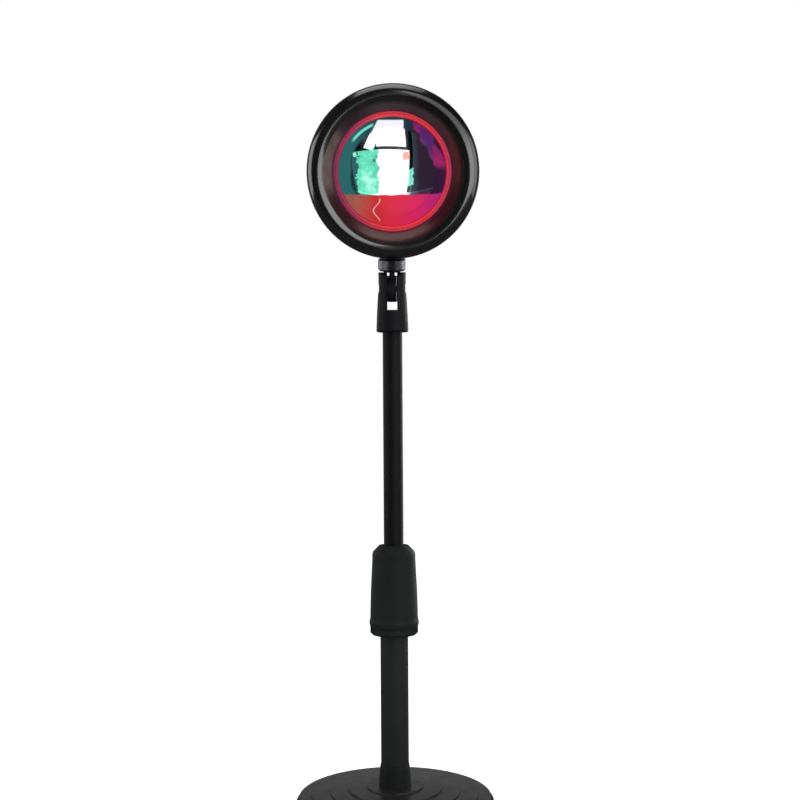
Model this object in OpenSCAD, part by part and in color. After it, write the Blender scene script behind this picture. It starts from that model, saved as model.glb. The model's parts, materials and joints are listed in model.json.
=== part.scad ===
// Sunset projection lamp: a weighted round base, a telescopic pole with a twist clutch, a forked
// tilt joint and a round projector head. Sizes are in millimetres. The origin is the centre of the
// base on the table, +Z is up and the lamp looks along -Y.

/* [Base] */
// Outside diameter of the base tray
base_d = 140; // [130:1:160]
// Height of the tray's underside above the table
tray_lift = 1.5; // [1:0.1:2.5]
// Thickness of the tray's floor
tray_floor = 3; // [2.6:0.1:4]
// Thickness of the tray's rim
tray_wall = 3; // [2:0.1:4]
// Height of the tray, from its underside to its rim
tray_h = 8; // [6:0.1:10]
// Distance from the base's edge to the anti-slip ring
pad_inset = 6; // [4:0.5:8]
// Width of the anti-slip ring
pad_w = 34; // [28:1:38]
// Depth that the anti-slip ring sits in the tray
pad_seat = 0.5; // [0.2:0.1:1]
// Thickness of the iron weight
weight_t = 5.5; // [4.5:0.1:7]
// Gap round the iron weight
weight_gap = 2.5; // [0.5:0.1:4]
// Diameter of the hole for the foot bolt's head and its spanner
foot_hole_d = 18.6; // [17.6:0.1:24]

/* [Base cover] */
// Wall thickness of the cover
cover_t = 2.2; // [1.6:0.1:2.8]
// Width of the tray's rim that shows outside the cover
cover_inset = 1.5; // [0.5:0.1:2.5]
// Height of the cover's upright edge
cover_wall = 1.6; // [1.5:0.1:4]
// Height of the cover's dome over its edge
cover_rise = 7.9; // [7:0.1:10]
// Radius of the cover's rounded edge
cover_round = 1.2; // [0.6:0.1:1.4]
// Radius of the innermost step on the dome
step_r = 20; // [18:0.5:24]
// Distance from one step to the next
step_pitch = 13; // [11:0.5:16]
// Height of each step
step_drop = 0.9; // [0.5:0.1:1]
// Wall round the pole's socket in the cover
socket_wall = 3.9; // [2:0.1:6]
// Distance from the base's edge to the screw posts
post_inset = 18; // [16:0.5:20]
// Diameter of the screw posts
post_d = 7; // [6:0.1:8]
// Length of the base screws under their heads
base_screw_l = 8; // [6:0.5:8.5]

/* [Pole] */
// Outside diameter of the lower tube
pole_d = 19.8; // [18.6:0.1:22]
// Wall of the lower tube
pole_wall = 0.9; // [0.6:0.1:1.1]
// Length of the lower tube
pole_len = 148; // [142:1:180]
// Length of the plug in the foot of the lower tube
plug_len = 14; // [8:0.5:20]
// Height of the sleeve round the pole's foot
collar_h = 15.4; // [8:0.1:30]
// Wall at the bottom of that sleeve
collar_t = 1.6; // [1.2:0.1:3]
// Wall of that sleeve under its chamfer
collar_top_t = 0.7; // [0.4:0.1:1]
// Diameter of the foot bolt
foot_bolt_d = 8; // [6:0.5:9]
// Size of the foot bolt's head across its corners
foot_head_d = 15; // [12:0.5:17]
// Height of the foot bolt's head
foot_head_h = 4; // [3:0.1:4.2]
// Thickness of the foot washer
foot_washer_t = 1.2; // [0.8:0.1:1.4]
// Thickness of the weight between pole and washer
clamp_t = 2.5; // [2:0.1:2.8]

/* [Clutch] */
// Length of the pole inside the clutch
clutch_hold = 31.6; // [20:0.1:40]
// Diameter of the clutch's bottom ring
clutch_ring_d = 34; // [32:0.1:38]
// Height of that ring
clutch_ring_h = 4.6; // [3:0.1:8]
// Thickness of the dark washer over the ring
clutch_washer_t = 0.6; // [0.4:0.1:1]
// Wall of the core inside the grip
core_t = 2.8; // [1.8:0.1:2.9]
// Height of the core above the end of the pole
core_over = 18; // [12:0.5:20]
// Length of the split collet
collet_len = 28; // [25:0.5:29]
// Width of the cuts in the collet
collet_cut = 1.5; // [0.8:0.1:2]
// Height of the grip
grip_h = 57.6; // [57:0.1:64]
// Diameter of the grip at its foot bead
grip_bead_d = 35.4; // [34.4:0.1:38]
// Diameter of the grip above the bead
grip_foot_d = 34; // [33:0.1:35]
// Diameter of the grip halfway up
grip_mid_d = 33; // [32:0.1:33.5]
// Diameter of the grip at its top
grip_top_d = 30.7; // [29.6:0.1:31.6]
// Width of the bevel round the grip's shoulder
shoulder_w = 4.8; // [3:0.1:5]
// Height of that bevel
shoulder_h = 4.2; // [3:0.1:5]
// Height of the soft start of that bevel
shoulder_soft = 2; // [1:0.1:3]

/* [Mast] */
// Outside diameter of the mast
mast_d = 14; // [12.4:0.1:14.4]
// Wall of the mast
mast_wall = 0.8; // [0.5:0.1:1.5]
// Length of mast that shows between grip and fork, as drawn
mast_show = 151.4; // [120:0.1:160]
// Height that the mast can still rise from where it is drawn
mast_up = 6; // [3:0.5:20]
// Height of the guide at the foot of the mast
guide_h = 12; // [8:0.5:18]
// Thickness of the guide's floor
guide_floor = 2; // [1:0.1:3]

/* [Tilt joint] */
// Height of the tilt axle above the fork's foot
pivot_h = 30.8; // [30.5:0.1:40]
// Depth of the mast's socket in the fork
socket_depth = 13.5; // [10:0.1:14]
// Diameter of the fork at its foot
fork_foot_d = 22.8; // [20.6:0.1:24]
// Diameter of the fork at its waist
fork_waist_d = 19.4; // [18:0.1:20.4]
// Diameter of the fork at its top
fork_top_d = 19.6; // [18.6:0.1:20.4]
// Width of the slot between the fork's cheeks
slot_w = 7.1; // [6.6:0.1:8]
// Height of the slot's floor above the fork's foot
slot_floor_h = 15.1; // [14.4:0.1:17]
// Radius of the round tops of the cheeks about the axle
cheek_r = 11.7; // [11:0.1:12.5]
// Diameter of the tilt axle
axle_d = 4; // [3:0.1:5]
// Thickness of each friction washer
hinge_washer_t = 0.5; // [0.3:0.1:0.8]
// Diameter of the tongue's round eye
eye_d = 18.8; // [16:0.1:19.4]
// Width of the tongue's neck, across the slot
neck_w = 3.8; // [3:0.1:5]
// Depth of the tongue's neck, from front to back
neck_depth = 10; // [6:0.1:11]
// Diameter of the flange on the tongue
flange_d = 12.2; // [10:0.1:16]
// Thickness of that flange
flange_t = 0.8; // [0.6:0.1:2]
// Diameter of the tongue's threaded stud
stud_d = 6; // [5:0.1:7]
// Diameter of the knurled lock ring
lock_d = 20; // [16:0.1:24]
// Height of the knurled lock ring
lock_h = 9; // [6:0.1:12]
// Number of grooves in the lock ring's knurl
lock_grooves = 36; // [24:2:48]
// Height of the lens axis over the tilt axle
head_rise = 82.4; // [82:0.1:90]
// Forward tilt of the head as drawn, in degrees
rest_tilt = 12; // [0:1:30]
// Turn of the head about its stud as drawn, in degrees
rest_pan = 3; // [-20:1:20]

/* [Head] */
// Outside diameter of the head's housing
shell_d = 110; // [106:0.5:110.4]
// Wall of the housing
shell_t = 2.2; // [1.6:0.1:2.8]
// Distance from the stud's axis forward to the housing's front edge
shell_front = 24; // [23:0.1:30]
// Distance from the stud's axis back to the housing's back
shell_back = 34; // [34:0.1:40]
// Radius of the housing's rounded back
shell_round = 27; // [24:0.1:27]
// Diameter of the opening in the housing's back
back_hole_d = 46; // [42:0.5:46]
// Number of vent slots
vent_n = 24; // [12:1:30]
// Width of the vent slots
vent_w = 2.5; // [1.5:0.1:3]
// Outside diameter of the stud boss
boss_d = 17; // [14:0.1:18]
// Radius of the bezel's round section
bezel_r = 7; // [6:0.1:7.2]
// Largest diameter of the bezel
bezel_d = 117; // [115:0.1:117.4]
// Wall of the bezel
bezel_t = 2; // [1.4:0.1:2.4]
// Length of the bezel's spigot in the housing
spigot_len = 3; // [2:0.1:3.5]
// Diameter of the bezel's opening
bezel_open_d = 94.6; // [93:0.1:96]
// Depth from the housing's front edge to the baffle's foot
baffle_depth = 6; // [5.8:0.1:8]
// Wall of the matte baffle
baffle_t = 1.5; // [1:0.1:2]

/* [Optics] */
// Diameter of the lens
lens_d = 76; // [70:0.5:76.4]
// Thickness of the lens at its edge
lens_edge = 3.2; // [2:0.1:3.6]
// Radius of the lens's dome
lens_dome_r = 80; // [70:0.5:110]
// Width of the lens ring's face
ring_w = 3.8; // [3:0.1:4.4]
// Thickness of the lens ring's lip
ring_lip = 2.2; // [1.6:0.1:3]
// Thickness of the rubber seal behind the lens
seal_t = 2; // [1.2:0.1:2.4]
// Thickness of the colour filter
film_t = 0.6; // [0.3:0.1:1]
// Distance from the lens's edge to the colour filter's edge
film_margin = 4.5; // [3.9:0.1:6]
// Width of the ledge that the colour filter rests on
film_ledge = 2.5; // [1.5:0.1:4.5]
// Thickness of the lens holder's floor
holder_floor = 2.5; // [2:0.1:3]
// Length of the holder's barrel behind its floor
barrel_len = 13; // [11:0.5:14]
// Diameter of the light source
chip_d = 14; // [8:0.5:16]
// Thickness of the light source
chip_t = 1; // [0.6:0.1:1.5]
// Thickness of the light source's board
led_board_t = 1.6; // [1:0.1:2]
// Diameter of the light source's board
led_board_d = 48; // [46:0.5:52]
// Thickness of the thermal pad
thermal_t = 0.5; // [0.3:0.1:1]
// Thickness of the heat sink's plate
sink_t = 3; // [2:0.1:4]
// Height of the heat sink's fins
fin_h = 5; // [3:0.1:5.5]
// Number of fins on the heat sink
fin_n = 9; // [5:2:13]
// Thickness of each fin
fin_t = 1.6; // [1:0.1:2]

/* [Back] */
// Thickness of the rear cover
rear_t = 2.5; // [2:0.1:3.5]
// Diameter of the driver's board
driver_d = 40; // [36:0.5:41]
// Thickness of the driver's board
driver_t = 1.6; // [1:0.1:2]
// Height of the posts that carry the driver's board
driver_post_h = 3.2; // [3:0.1:4]
// Diameter of the cord's hole in the gland
cord_hole_d = 4.2; // [3:0.1:5]
// Length of the gland outside the rear cover
gland_len = 10; // [6:0.5:16]
// Diameter of the gland's thread
gland_d = 8; // [7:0.1:9]
// Height of the gland's nut
gland_nut_h = 2; // [1.5:0.1:2.4]
// Diameter of the wires to the light source
lead_d = 1.6; // [1:0.1:2]

/* [Fits] */
// Clearance of fixed pieces that nest in each other
fit = 0.05; // [0.02:0.01:0.1]
// Radial clearance of running fits
run = 0.08; // [0.05:0.01:0.1]
// Gap between pieces that move past each other
gap = 0.3; // [0.2:0.05:0.4]
// Diameter of the small screws
screw_d = 3; // [2.5:0.1:3.2]
// Diameter of the small screws' heads
screw_head_d = 5.4; // [4.8:0.1:5.8]
// Height of the small screws' heads
screw_head_h = 1.4; // [1:0.1:1.6]

/* [Hidden] */
$fn = 96;
eps = 0.01;
post_n = 4;
trio_n = 3;
base_r = base_d / 2;
pole_r = pole_d / 2;
mast_r = mast_d / 2;
shell_r = shell_d / 2;

// Heights in the base
z_tray = tray_lift;
z_floor = z_tray + tray_floor;
z_rim = z_tray + tray_h;
z_weight = z_floor + weight_t;
z_edge = z_rim + cover_wall;
z_top = z_edge + cover_rise;
pad_t = tray_lift + pad_seat;
pad_out_r = base_r - pad_inset;
pad_in_r = pad_out_r - pad_w;
tray_in_r = base_r - tray_wall;
tray_edge = 1;
skirt_r = tray_in_r - fit;
weight_r = skirt_r - cover_t - weight_gap;
post_ring_r = base_r - post_inset;
foot_hole_r = foot_hole_d / 2;

// Steps of the base cover: the radius and the upper and lower height of each one
cover_r = base_r - cover_inset;
riser_run = 0.5;
step_margin = 4;
step_n = floor((cover_r - step_margin - step_r) / step_pitch) + 1;
tread_fall = (cover_rise - cover_round - step_n * step_drop) / (cover_r - cover_round - step_r);
function step_at(i) = step_r + i * step_pitch;
function step_high(i) = z_top - i * step_drop - tread_fall * (step_at(i) - step_r);

// Heights on the pole
z_pole_top = z_weight + pole_len;
z_clutch = z_pole_top - clutch_hold;
core_r = pole_r + fit + core_t;
core_h = clutch_hold + core_over;
z_grip = z_clutch + clutch_ring_h + clutch_washer_t + gap;
z_grip_top = z_grip + grip_h;
z_core_top = z_clutch + core_h;
grip_hole_r = mast_r + gap + run;
washer_inset = 0.8;
hinge_inset = 0.2;
hinge_play = 0.1;
foot_washer_r = foot_hole_r - washer_inset;
foot_chamfer = 2.8;
clutch_bevel = 1.5;
collet_nose_t = 1.7;
collet_flare_h = 1;
collet_flare_r = core_r - core_t / 2;
collet_nose_r = mast_r + run + collet_nose_t;

// Heights on the mast
z_fork = z_grip_top + mast_show;
z_mast_top = z_fork + socket_depth;
z_guide = z_pole_top - mast_up - gap - guide_h;
z_mast = z_guide + guide_floor + run;
z_pivot = z_fork + pivot_h;
guide_r = pole_r - pole_wall - run;

// Tilt joint
axle_r = axle_d / 2;
axle_head_r = 3.6;
axle_head_h = 2.4;
hinge_nut_r = 4.04;
hinge_nut_h = 3;
cheek_x = fork_waist_d / 2;
eye_t = slot_w - 2 * hinge_washer_t - 2 * hinge_play;
u_flange = cheek_r + gap;
u_lock = u_flange + flange_t;
u_boss = u_lock + lock_h + gap;
stud_r = stud_d / 2;
insert_t = 2;
insert_r = stud_r + insert_t;
set_screw_h = 6.6;
set_screw_inset = 1;
key_depth = 1.5;

// Head: distances along the lens axis from the stud's axis, forward is positive
shell_in_r = shell_r - shell_t;
boss_root = 4;
insert_len = head_rise - shell_in_r + boss_root - u_boss;
stud_short = 1.6;
vent_back = 6;
vent_h = 15;
back_r = shell_r - shell_round;
back_hole_r = back_hole_d / 2;
a_back = -shell_back;
bezel_tuck = 2.8;
a_bezel = shell_front + bezel_r - bezel_tuck;
bezel_ring_r = bezel_d / 2 - bezel_r;
bezel_open_r = bezel_open_d / 2;
rim_ahead = 1.5;
bezel_flat = 1;
baffle_lip = 2;
lip_bevel = 1;
seal_inset = 1;
a_baffle_rim = a_bezel + rim_ahead;
a_flange = shell_front - baffle_depth;
flange_h = 2.5;
lens_lap = 1.2;
ring_out_r = lens_d / 2 - lens_lap + ring_w;
ring_in_r = ring_out_r - ring_w;
lip_rise = 1.1;
a_lens = a_flange - ring_lip - lip_rise - lens_edge;
a_seat = a_lens - seal_t;
a_holder = a_seat - holder_floor;
a_barrel = a_holder - barrel_len;
film_r = lens_d / 2 - film_margin;
barrel_r = film_r - film_ledge;
barrel_t = 2;
holder_in_r = ring_out_r + fit;
holder_t = 1.8;
holder_r = holder_in_r + holder_t;
film_play = 0.1;
film_seat = film_t + film_play;
a_led = a_barrel + thermal_t;
a_chip = a_led + led_board_t;
reflector_t = 1.2;
reflector_hole_r = chip_d / 2 + 2;
board_margin = 4;
led_screw_ring = led_board_d / 2 - board_margin;
lug_r = 3.6;
holder_lug_ring = shell_in_r - 3;
sink_lug_ring = barrel_r + barrel_t + lug_r - 0.6;
sink_r = sink_lug_ring + lug_r;
a_sink = a_barrel - sink_t;
a_driver = a_back + driver_post_h;
driver_margin = 3;
driver_post_ring = driver_d / 2 - driver_margin;
driver_post_r = 2.5;
driver_pin_over = 0.6;
lead_ring = driver_post_ring + 0.5;
lead_angle = 62;
rear_lug_r = 2.6;
rear_lug_ring = back_hole_r + rear_lug_r + fit;
rear_bevel = 1.5;
rear_lip_t = 2;
rear_lug_h = 8;
holder_lug_h = 8;
screw_bite = 6;
trio_angle = 90;
rear_angle = 150;
thermal_inset = 0.5;
fin_root = 1;
fin_pitch = 2 * (back_hole_r - 1) / (fin_n - 1);
gland_rib = 0.8;
rib_rise = 0.2;
gland_lip = 2.5;
gland_lip_t = 2;
gland_bevel = 0.5;
gland_nut_wall = 2.8;

// ---------------------------------------------------------------- shared shapes

module up(z) translate([0, 0, z]) children();

module tube(r_out, r_in, h) {
  rotate_extrude() translate([r_in, 0]) square([r_out - r_in, h]);
}

// A cutting cylinder that runs past both of its ends
module drill(r, h) up(-eps) cylinder(r = r, h = h + 2 * eps);

module ring_of(n, r, turn = 0) {
  for (i = [0 : n - 1]) rotate([0, 0, turn + i * 360 / n]) translate([r, 0, 0]) children();
}

// A pan-head screw that points up, with the underside of its head at z = 0
module small_screw(length, r = screw_d / 2, head_r = screw_head_d / 2, head_h = screw_head_h) {
  slot = 0.8;
  difference() {
    union() {
      up(-head_h) cylinder(r = head_r, h = head_h);
      cylinder(r = r, h = length);
    }
    for (turn = [0, 90])
      rotate([0, 0, turn])
        translate([-head_r * 0.6, -slot / 2, -head_h - eps])
          cube([head_r * 1.2, slot, head_h * 0.6]);
  }
}

module at_posts() ring_of(post_n, post_ring_r, 45) children();
module tilted() up(z_pivot) rotate([rest_tilt, 0, 0]) children();

// Frame of the head: +Z is forward along the lens axis and +Y is up, away from the stud
module in_head() tilted() rotate([0, 0, rest_pan]) up(head_rise) rotate([90, 0, 0]) children();

// ---------------------------------------------------------------- base

module anti_slip_pad() color("#1c1c1c") tube(pad_out_r, pad_in_r, pad_t);

module base_tray() color("#262626") difference() {
  rotate_extrude() polygon([
    [foot_hole_r, z_tray], [base_r - tray_edge, z_tray], [base_r, z_tray + tray_edge],
    [base_r, z_rim - tray_edge / 2], [base_r - tray_edge / 2, z_rim], [tray_in_r, z_rim],
    [tray_in_r, z_floor], [foot_hole_r, z_floor]
  ]);
  up(z_tray - eps) tube(pad_out_r + fit, pad_in_r - fit, pad_seat + eps);
  at_posts() {
    up(z_tray) drill(screw_d / 2 + fit, tray_floor);
    up(z_tray) drill(screw_head_d / 2 + fit, pad_seat + screw_head_h);
  }
}

module base_weight() color("#55585c") difference() {
  up(z_floor) cylinder(r = weight_r, h = weight_t);
  up(z_floor) drill(foot_bolt_d / 2 + gap, weight_t);
  up(z_floor - eps) cylinder(r = foot_hole_r, h = weight_t - clamp_t + eps);
  at_posts() up(z_floor) drill(post_d / 2 + gap, weight_t);
}

// Height of the dome's top surface at a radius beyond the first step
function dome_z(r) = let (passed = floor((r - step_r) / step_pitch) + 1)
  z_top - passed * step_drop - tread_fall * (r - step_r);

module base_cover() color("#3b3c3c") difference() {
  z_skirt = z_floor + weight_t / 2;
  union() {
    rotate_extrude() polygon(concat(
      [[0, z_top]],
      [for (i = [0 : step_n - 1], low = [0, 1])
        [step_at(i) + low * riser_run, step_high(i) - low * step_drop]],
      [for (turn = [90 : -15 : 0])
        [cover_r - cover_round * (1 - cos(turn)), z_edge + cover_round * sin(turn)]],
      [[cover_r, z_rim], [skirt_r, z_rim], [skirt_r, z_skirt], [skirt_r - cover_t, z_skirt],
        [skirt_r - cover_t, z_edge + cover_round - cover_t]],
      [for (i = [step_n - 1 : -1 : 0])
        [step_at(i) + riser_run - cover_t / 2, step_high(i) - step_drop - cover_t]],
      [[0, z_top - cover_t]]
    ));
    up(z_weight) cylinder(r = pole_r + fit + socket_wall, h = z_top - z_weight - cover_t / 2);
    at_posts() up(z_floor)
      cylinder(r = post_d / 2, h = dome_z(post_ring_r + post_d / 2) - cover_t / 2 - z_floor);
  }
  up(z_weight) drill(pole_r + fit, z_top - z_weight);
  at_posts() up(z_floor)
    drill(screw_d / 2 + fit, base_screw_l - tray_floor + pad_seat + screw_head_h + gap);
}

module base_screws() color("#8f9296")
  at_posts() up(z_tray + pad_seat + screw_head_h) small_screw(base_screw_l);

// ---------------------------------------------------------------- foot of the pole

module foot_collar() color("#202121") up(z_top) rotate_extrude() polygon([
  [pole_r + fit, 0], [pole_r + fit + collar_t, 0],
  [pole_r + fit + collar_top_t, collar_h - foot_chamfer],
  [pole_r + fit + collar_top_t / 3, collar_h], [pole_r + fit, collar_h]
]);

module foot_bolt() color("#a5a8ab") {
  z_head = z_weight - clamp_t - foot_washer_t - foot_head_h;
  up(z_head) cylinder(r = foot_head_d / 2, h = foot_head_h, $fn = 6);
  up(z_head) cylinder(r = foot_bolt_d / 2, h = z_weight + plug_len - z_head);
}

module foot_washer() color("#a5a8ab")
  up(z_weight - clamp_t - foot_washer_t)
    tube(foot_washer_r, foot_bolt_d / 2 + gap, foot_washer_t);

module lower_tube() color("#1d1e1e") up(z_weight) tube(pole_r, pole_r - pole_wall, pole_len);

module tube_plug() color("#9a9c9e")
  up(z_weight) tube(pole_r - pole_wall - fit, foot_bolt_d / 2 + fit, plug_len);

// ---------------------------------------------------------------- clutch

module clutch_base() color("#232424") up(z_clutch) rotate_extrude() polygon([
  [pole_r + fit, 0], [clutch_ring_d / 2 - clutch_bevel, 0], [clutch_ring_d / 2, clutch_bevel],
  [clutch_ring_d / 2, clutch_ring_h], [core_r, clutch_ring_h], [core_r, core_h],
  [pole_r + fit, core_h]
]);

module clutch_washer() color("#0f0f0f")
  up(z_clutch + clutch_ring_h) tube(clutch_ring_d / 2 - washer_inset, core_r + fit, clutch_washer_t);

// The grip: a tapered sleeve with a foot bead and a bevelled shoulder, hollow over core and collet
module clutch_grip() color("#262727") up(z_grip) {
  bead_z = 3.2;
  foot_z = 6.4;
  mid_z = 26;
  neck_z = 40;
  neck_swell = 0.4;
  crown_z = 48;
  core_z = z_core_top - z_grip + gap;
  collet_z = z_pole_top + collet_len - z_grip + gap;
  rotate_extrude() difference() {
    polygon([
      [0, 0], [grip_foot_d / 2, 0], [grip_bead_d / 2 - gap, bead_z / 2],
      [grip_bead_d / 2, bead_z], [grip_foot_d / 2, foot_z], [grip_mid_d / 2, mid_z],
      [grip_top_d / 2 + neck_swell, neck_z], [grip_top_d / 2, crown_z],
      [grip_top_d / 2, grip_h - shoulder_h - shoulder_soft],
      [grip_top_d / 2 - shoulder_soft / 3, grip_h - shoulder_h],
      [grip_top_d / 2 - shoulder_w, grip_h], [0, grip_h]
    ]);
    polygon([
      [0, -eps], [core_r + gap, -eps], [core_r + gap, core_z],
      [collet_flare_r + gap, core_z], [collet_nose_r + gap, collet_z], [0, collet_z]
    ]);
    square([grip_hole_r, grip_h + eps]);
  }
}

module collet() color("#d8d8d4") up(z_pole_top) difference() {
  rotate_extrude() polygon([
    [mast_r + run, 0], [pole_r - fit, 0], [pole_r - fit, core_over + fit],
    [collet_flare_r, core_over + fit], [collet_flare_r, core_over + collet_flare_h],
    [collet_nose_r, collet_len], [mast_r + run, collet_len]
  ]);
  for (turn = [0, 90])
    rotate([0, 0, turn])
      translate([-core_r, -collet_cut / 2, core_over / 2])
        cube([2 * core_r, collet_cut, collet_len]);
}

module mast_guide() color("#d8d8d4") up(z_guide) rotate_extrude() polygon([
  [mast_r / 2, 0], [guide_r, 0], [guide_r, guide_h], [mast_r + run, guide_h],
  [mast_r + run, guide_floor], [mast_r / 2, guide_floor]
]);

// ---------------------------------------------------------------- mast and tilt joint

module upper_tube() color("#1d1e1e") up(z_mast) tube(mast_r, mast_r - mast_wall, z_mast_top - z_mast);

module along_x() rotate([0, 90, 0]) children();

module fork_body() color("#232226") difference() {
  bevel = 0.8;
  taper = 0.5;
  waist = [-5, 1, 5];
  intersection() {
    up(z_fork) rotate_extrude() polygon([
      [0, 0], [fork_foot_d / 2 - bevel, 0], [fork_foot_d / 2, bevel],
      [fork_foot_d / 2 - taper, socket_depth], [cheek_x + taper, pivot_h + waist[0]],
      [cheek_x, pivot_h + waist[1]], [cheek_x, pivot_h + waist[2]],
      [fork_top_d / 2, pivot_h + cheek_r], [0, pivot_h + cheek_r]
    ]);
    union() {
      translate([-fork_foot_d, -fork_foot_d, z_fork]) cube([2 * fork_foot_d, 2 * fork_foot_d, pivot_h]);
      up(z_pivot) along_x() cylinder(r = cheek_r, h = 2 * fork_foot_d, center = true);
    }
  }
  up(z_fork) drill(mast_r + fit, socket_depth);
  translate([-slot_w / 2, -fork_foot_d, z_fork + slot_floor_h])
    cube([slot_w, 2 * fork_foot_d, pivot_h + cheek_r]);
  up(z_pivot) along_x() {
    cylinder(r = axle_r + fit, h = 2 * fork_foot_d, center = true);
    up(cheek_x - axle_head_h - gap) cylinder(r = axle_head_r + fit, h = fork_foot_d);
    up(-cheek_x + gap + hinge_nut_h - fork_foot_d)
      cylinder(r = hinge_nut_r + fit, h = fork_foot_d, $fn = 6);
  }
  translate([0, 0, z_fork + set_screw_h]) rotate([-90, 0, 0]) cylinder(r = axle_r + fit, h = fork_foot_d);
}

module fork_set_screw() color("#8f9296")
  translate([0, mast_r + fit, z_fork + set_screw_h]) rotate([-90, 0, 0]) difference() {
    length = fork_foot_d / 2 - set_screw_inset - mast_r;
    cylinder(r = axle_r, h = length);
    up(length - key_depth) cylinder(r = axle_r / 2, h = key_depth + eps, $fn = 6);
  }

module hinge_screw() color("#8f9296") up(z_pivot) along_x() difference() {
  union() {
    up(cheek_x - gap - axle_head_h) cylinder(r = axle_head_r, h = axle_head_h);
    up(gap - cheek_x) cylinder(r = axle_r, h = 2 * cheek_x - 2 * gap - axle_head_h);
  }
  up(cheek_x - gap - key_depth) cylinder(r = axle_r * 0.8, h = key_depth + eps, $fn = 6);
}

module hinge_nut() color("#8f9296") up(z_pivot) along_x() up(gap - cheek_x) difference() {
  cylinder(r = hinge_nut_r, h = hinge_nut_h, $fn = 6);
  drill(axle_r + fit, hinge_nut_h);
}

module hinge_washers() color("#b9b9b4") up(z_pivot) along_x()
  for (side = [-1, 1])
    up(side * (slot_w - hinge_washer_t) / 2 - hinge_washer_t / 2)
      tube(eye_d / 2 - hinge_inset, axle_r + fit, hinge_washer_t);

module tilt_tongue() color("#232226") tilted() difference() {
  union() {
    along_x() cylinder(r = eye_d / 2, h = eye_t, center = true);
    translate([-neck_w / 2, -neck_depth / 2, 0]) cube([neck_w, neck_depth, u_flange]);
    up(u_flange) cylinder(r = flange_d / 2, h = flange_t);
    up(u_flange) cylinder(r = stud_r, h = u_boss + insert_len - stud_short - u_flange);
  }
  along_x() cylinder(r = axle_r + run, h = 2 * eye_t, center = true);
}

module lock_ring() color("#7d7c84") tilted() up(u_lock + fit) difference() {
  bevel = 1.4;
  groove_r = 0.45;
  groove_out = 0.135;
  rotate_extrude() polygon([
    [stud_r + run, 0], [lock_d / 2 - bevel, 0], [lock_d / 2, bevel],
    [lock_d / 2, lock_h - bevel], [lock_d / 2 - bevel, lock_h], [stud_r + run, lock_h]
  ]);
  ring_of(lock_grooves, lock_d / 2 + groove_out) drill(groove_r, lock_h);
}

// ---------------------------------------------------------------- head

// Half outline of the bowl: a cylinder that turns into a round back
module bowl_outline(r, back, round_r) {
  translate([0, back + round_r]) square([r, shell_front - back - round_r]);
  translate([0, back]) square([r - round_r, round_r + eps]);
  intersection() {
    translate([r - round_r, back + round_r]) circle(round_r);
    translate([r - round_r - eps, back]) square([round_r + 2 * eps, round_r + eps]);
  }
}

module head_shell() color("#1f1f20") in_head() difference() {
  union() {
    rotate_extrude() difference() {
      bowl_outline(shell_r, a_back, shell_round);
      translate([0, eps]) bowl_outline(shell_in_r, a_back + shell_t, shell_round - shell_t);
      translate([0, a_back - eps]) square([back_hole_r, shell_back]);
    }
    intersection() {
      rotate([90, 0, 0]) cylinder(r = boss_d / 2, h = head_rise - u_boss);
      translate([-boss_d, -head_rise, -boss_d])
        cube([2 * boss_d, head_rise - shell_in_r + boss_root, 2 * boss_d]);
    }
    ring_of(trio_n, holder_lug_ring, trio_angle)
      up(a_flange - flange_h - holder_lug_h) cylinder(r = lug_r, h = holder_lug_h);
    ring_of(trio_n, rear_lug_ring, rear_angle)
      up(a_back + shell_t / 2) cylinder(r = rear_lug_r, h = rear_lug_h);
  }
  rotate([90, 0, 0]) cylinder(r = insert_r + fit, h = head_rise);
  ring_of(trio_n, holder_lug_ring, trio_angle)
    up(a_flange - flange_h - holder_lug_h) drill(screw_d / 2 + fit, holder_lug_h);
  ring_of(trio_n, rear_lug_ring, rear_angle)
    up(a_back - eps) cylinder(r = screw_d / 2 + fit, h = rear_lug_h);
  ring_of(vent_n, shell_r - shell_round / 2, 180 / vent_n)
    translate([0, -vent_w / 2, a_back + vent_back]) cube([shell_round, vent_w, vent_h]);
}

module stem_insert() color("#b8923f") in_head()
  rotate([90, 0, 0]) up(shell_in_r - boss_root) tube(insert_r, stud_r + run, insert_len);

// The bezel: a hollow ring of round section, flat at the back, with a spigot inside the housing
module front_bezel() color("#101011") in_head() rotate_extrude() {
  reach = 2 * bezel_r;
  spigot_r = shell_in_r - fit;
  flat_r = bezel_ring_r + sqrt(pow(bezel_r, 2) - pow(a_bezel - shell_front, 2));
  difference() {
    translate([bezel_ring_r, a_bezel]) circle(bezel_r);
    translate([bezel_ring_r, a_bezel]) circle(bezel_r - bezel_t);
    translate([bezel_ring_r - reach, shell_front - reach]) square([2 * reach, reach]);
    translate([bezel_open_r - reach, shell_front - eps]) square([reach, 2 * reach]);
    translate([bezel_ring_r - reach, shell_front - eps])
      square([reach, a_baffle_rim - shell_front + eps]);
  }
  translate([spigot_r - bezel_t, shell_front - spigot_len])
    square([bezel_t, spigot_len + bezel_flat]);
  translate([spigot_r - bezel_t, shell_front]) square([flat_r - spigot_r + bezel_t, bezel_flat]);
}

module baffle() color("#4b4542") in_head() rotate_extrude() polygon([
  [ring_out_r, a_flange], [bezel_open_r, a_baffle_rim], [bezel_open_r + baffle_lip, a_baffle_rim],
  [bezel_open_r + baffle_lip, a_baffle_rim - baffle_t],
  [bezel_open_r + baffle_t, a_baffle_rim - baffle_t], [ring_out_r + baffle_t, a_flange]
]);

module lens_ring() color("#8c1c30") in_head() rotate_extrude() polygon([
  [ring_in_r, a_flange - ring_lip], [ring_in_r, a_flange - lip_bevel], [ring_in_r + lip_bevel, a_flange],
  [ring_out_r, a_flange], [ring_out_r, a_lens], [lens_d / 2 + fit, a_lens],
  [lens_d / 2 + fit, a_flange - ring_lip]
]);

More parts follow.
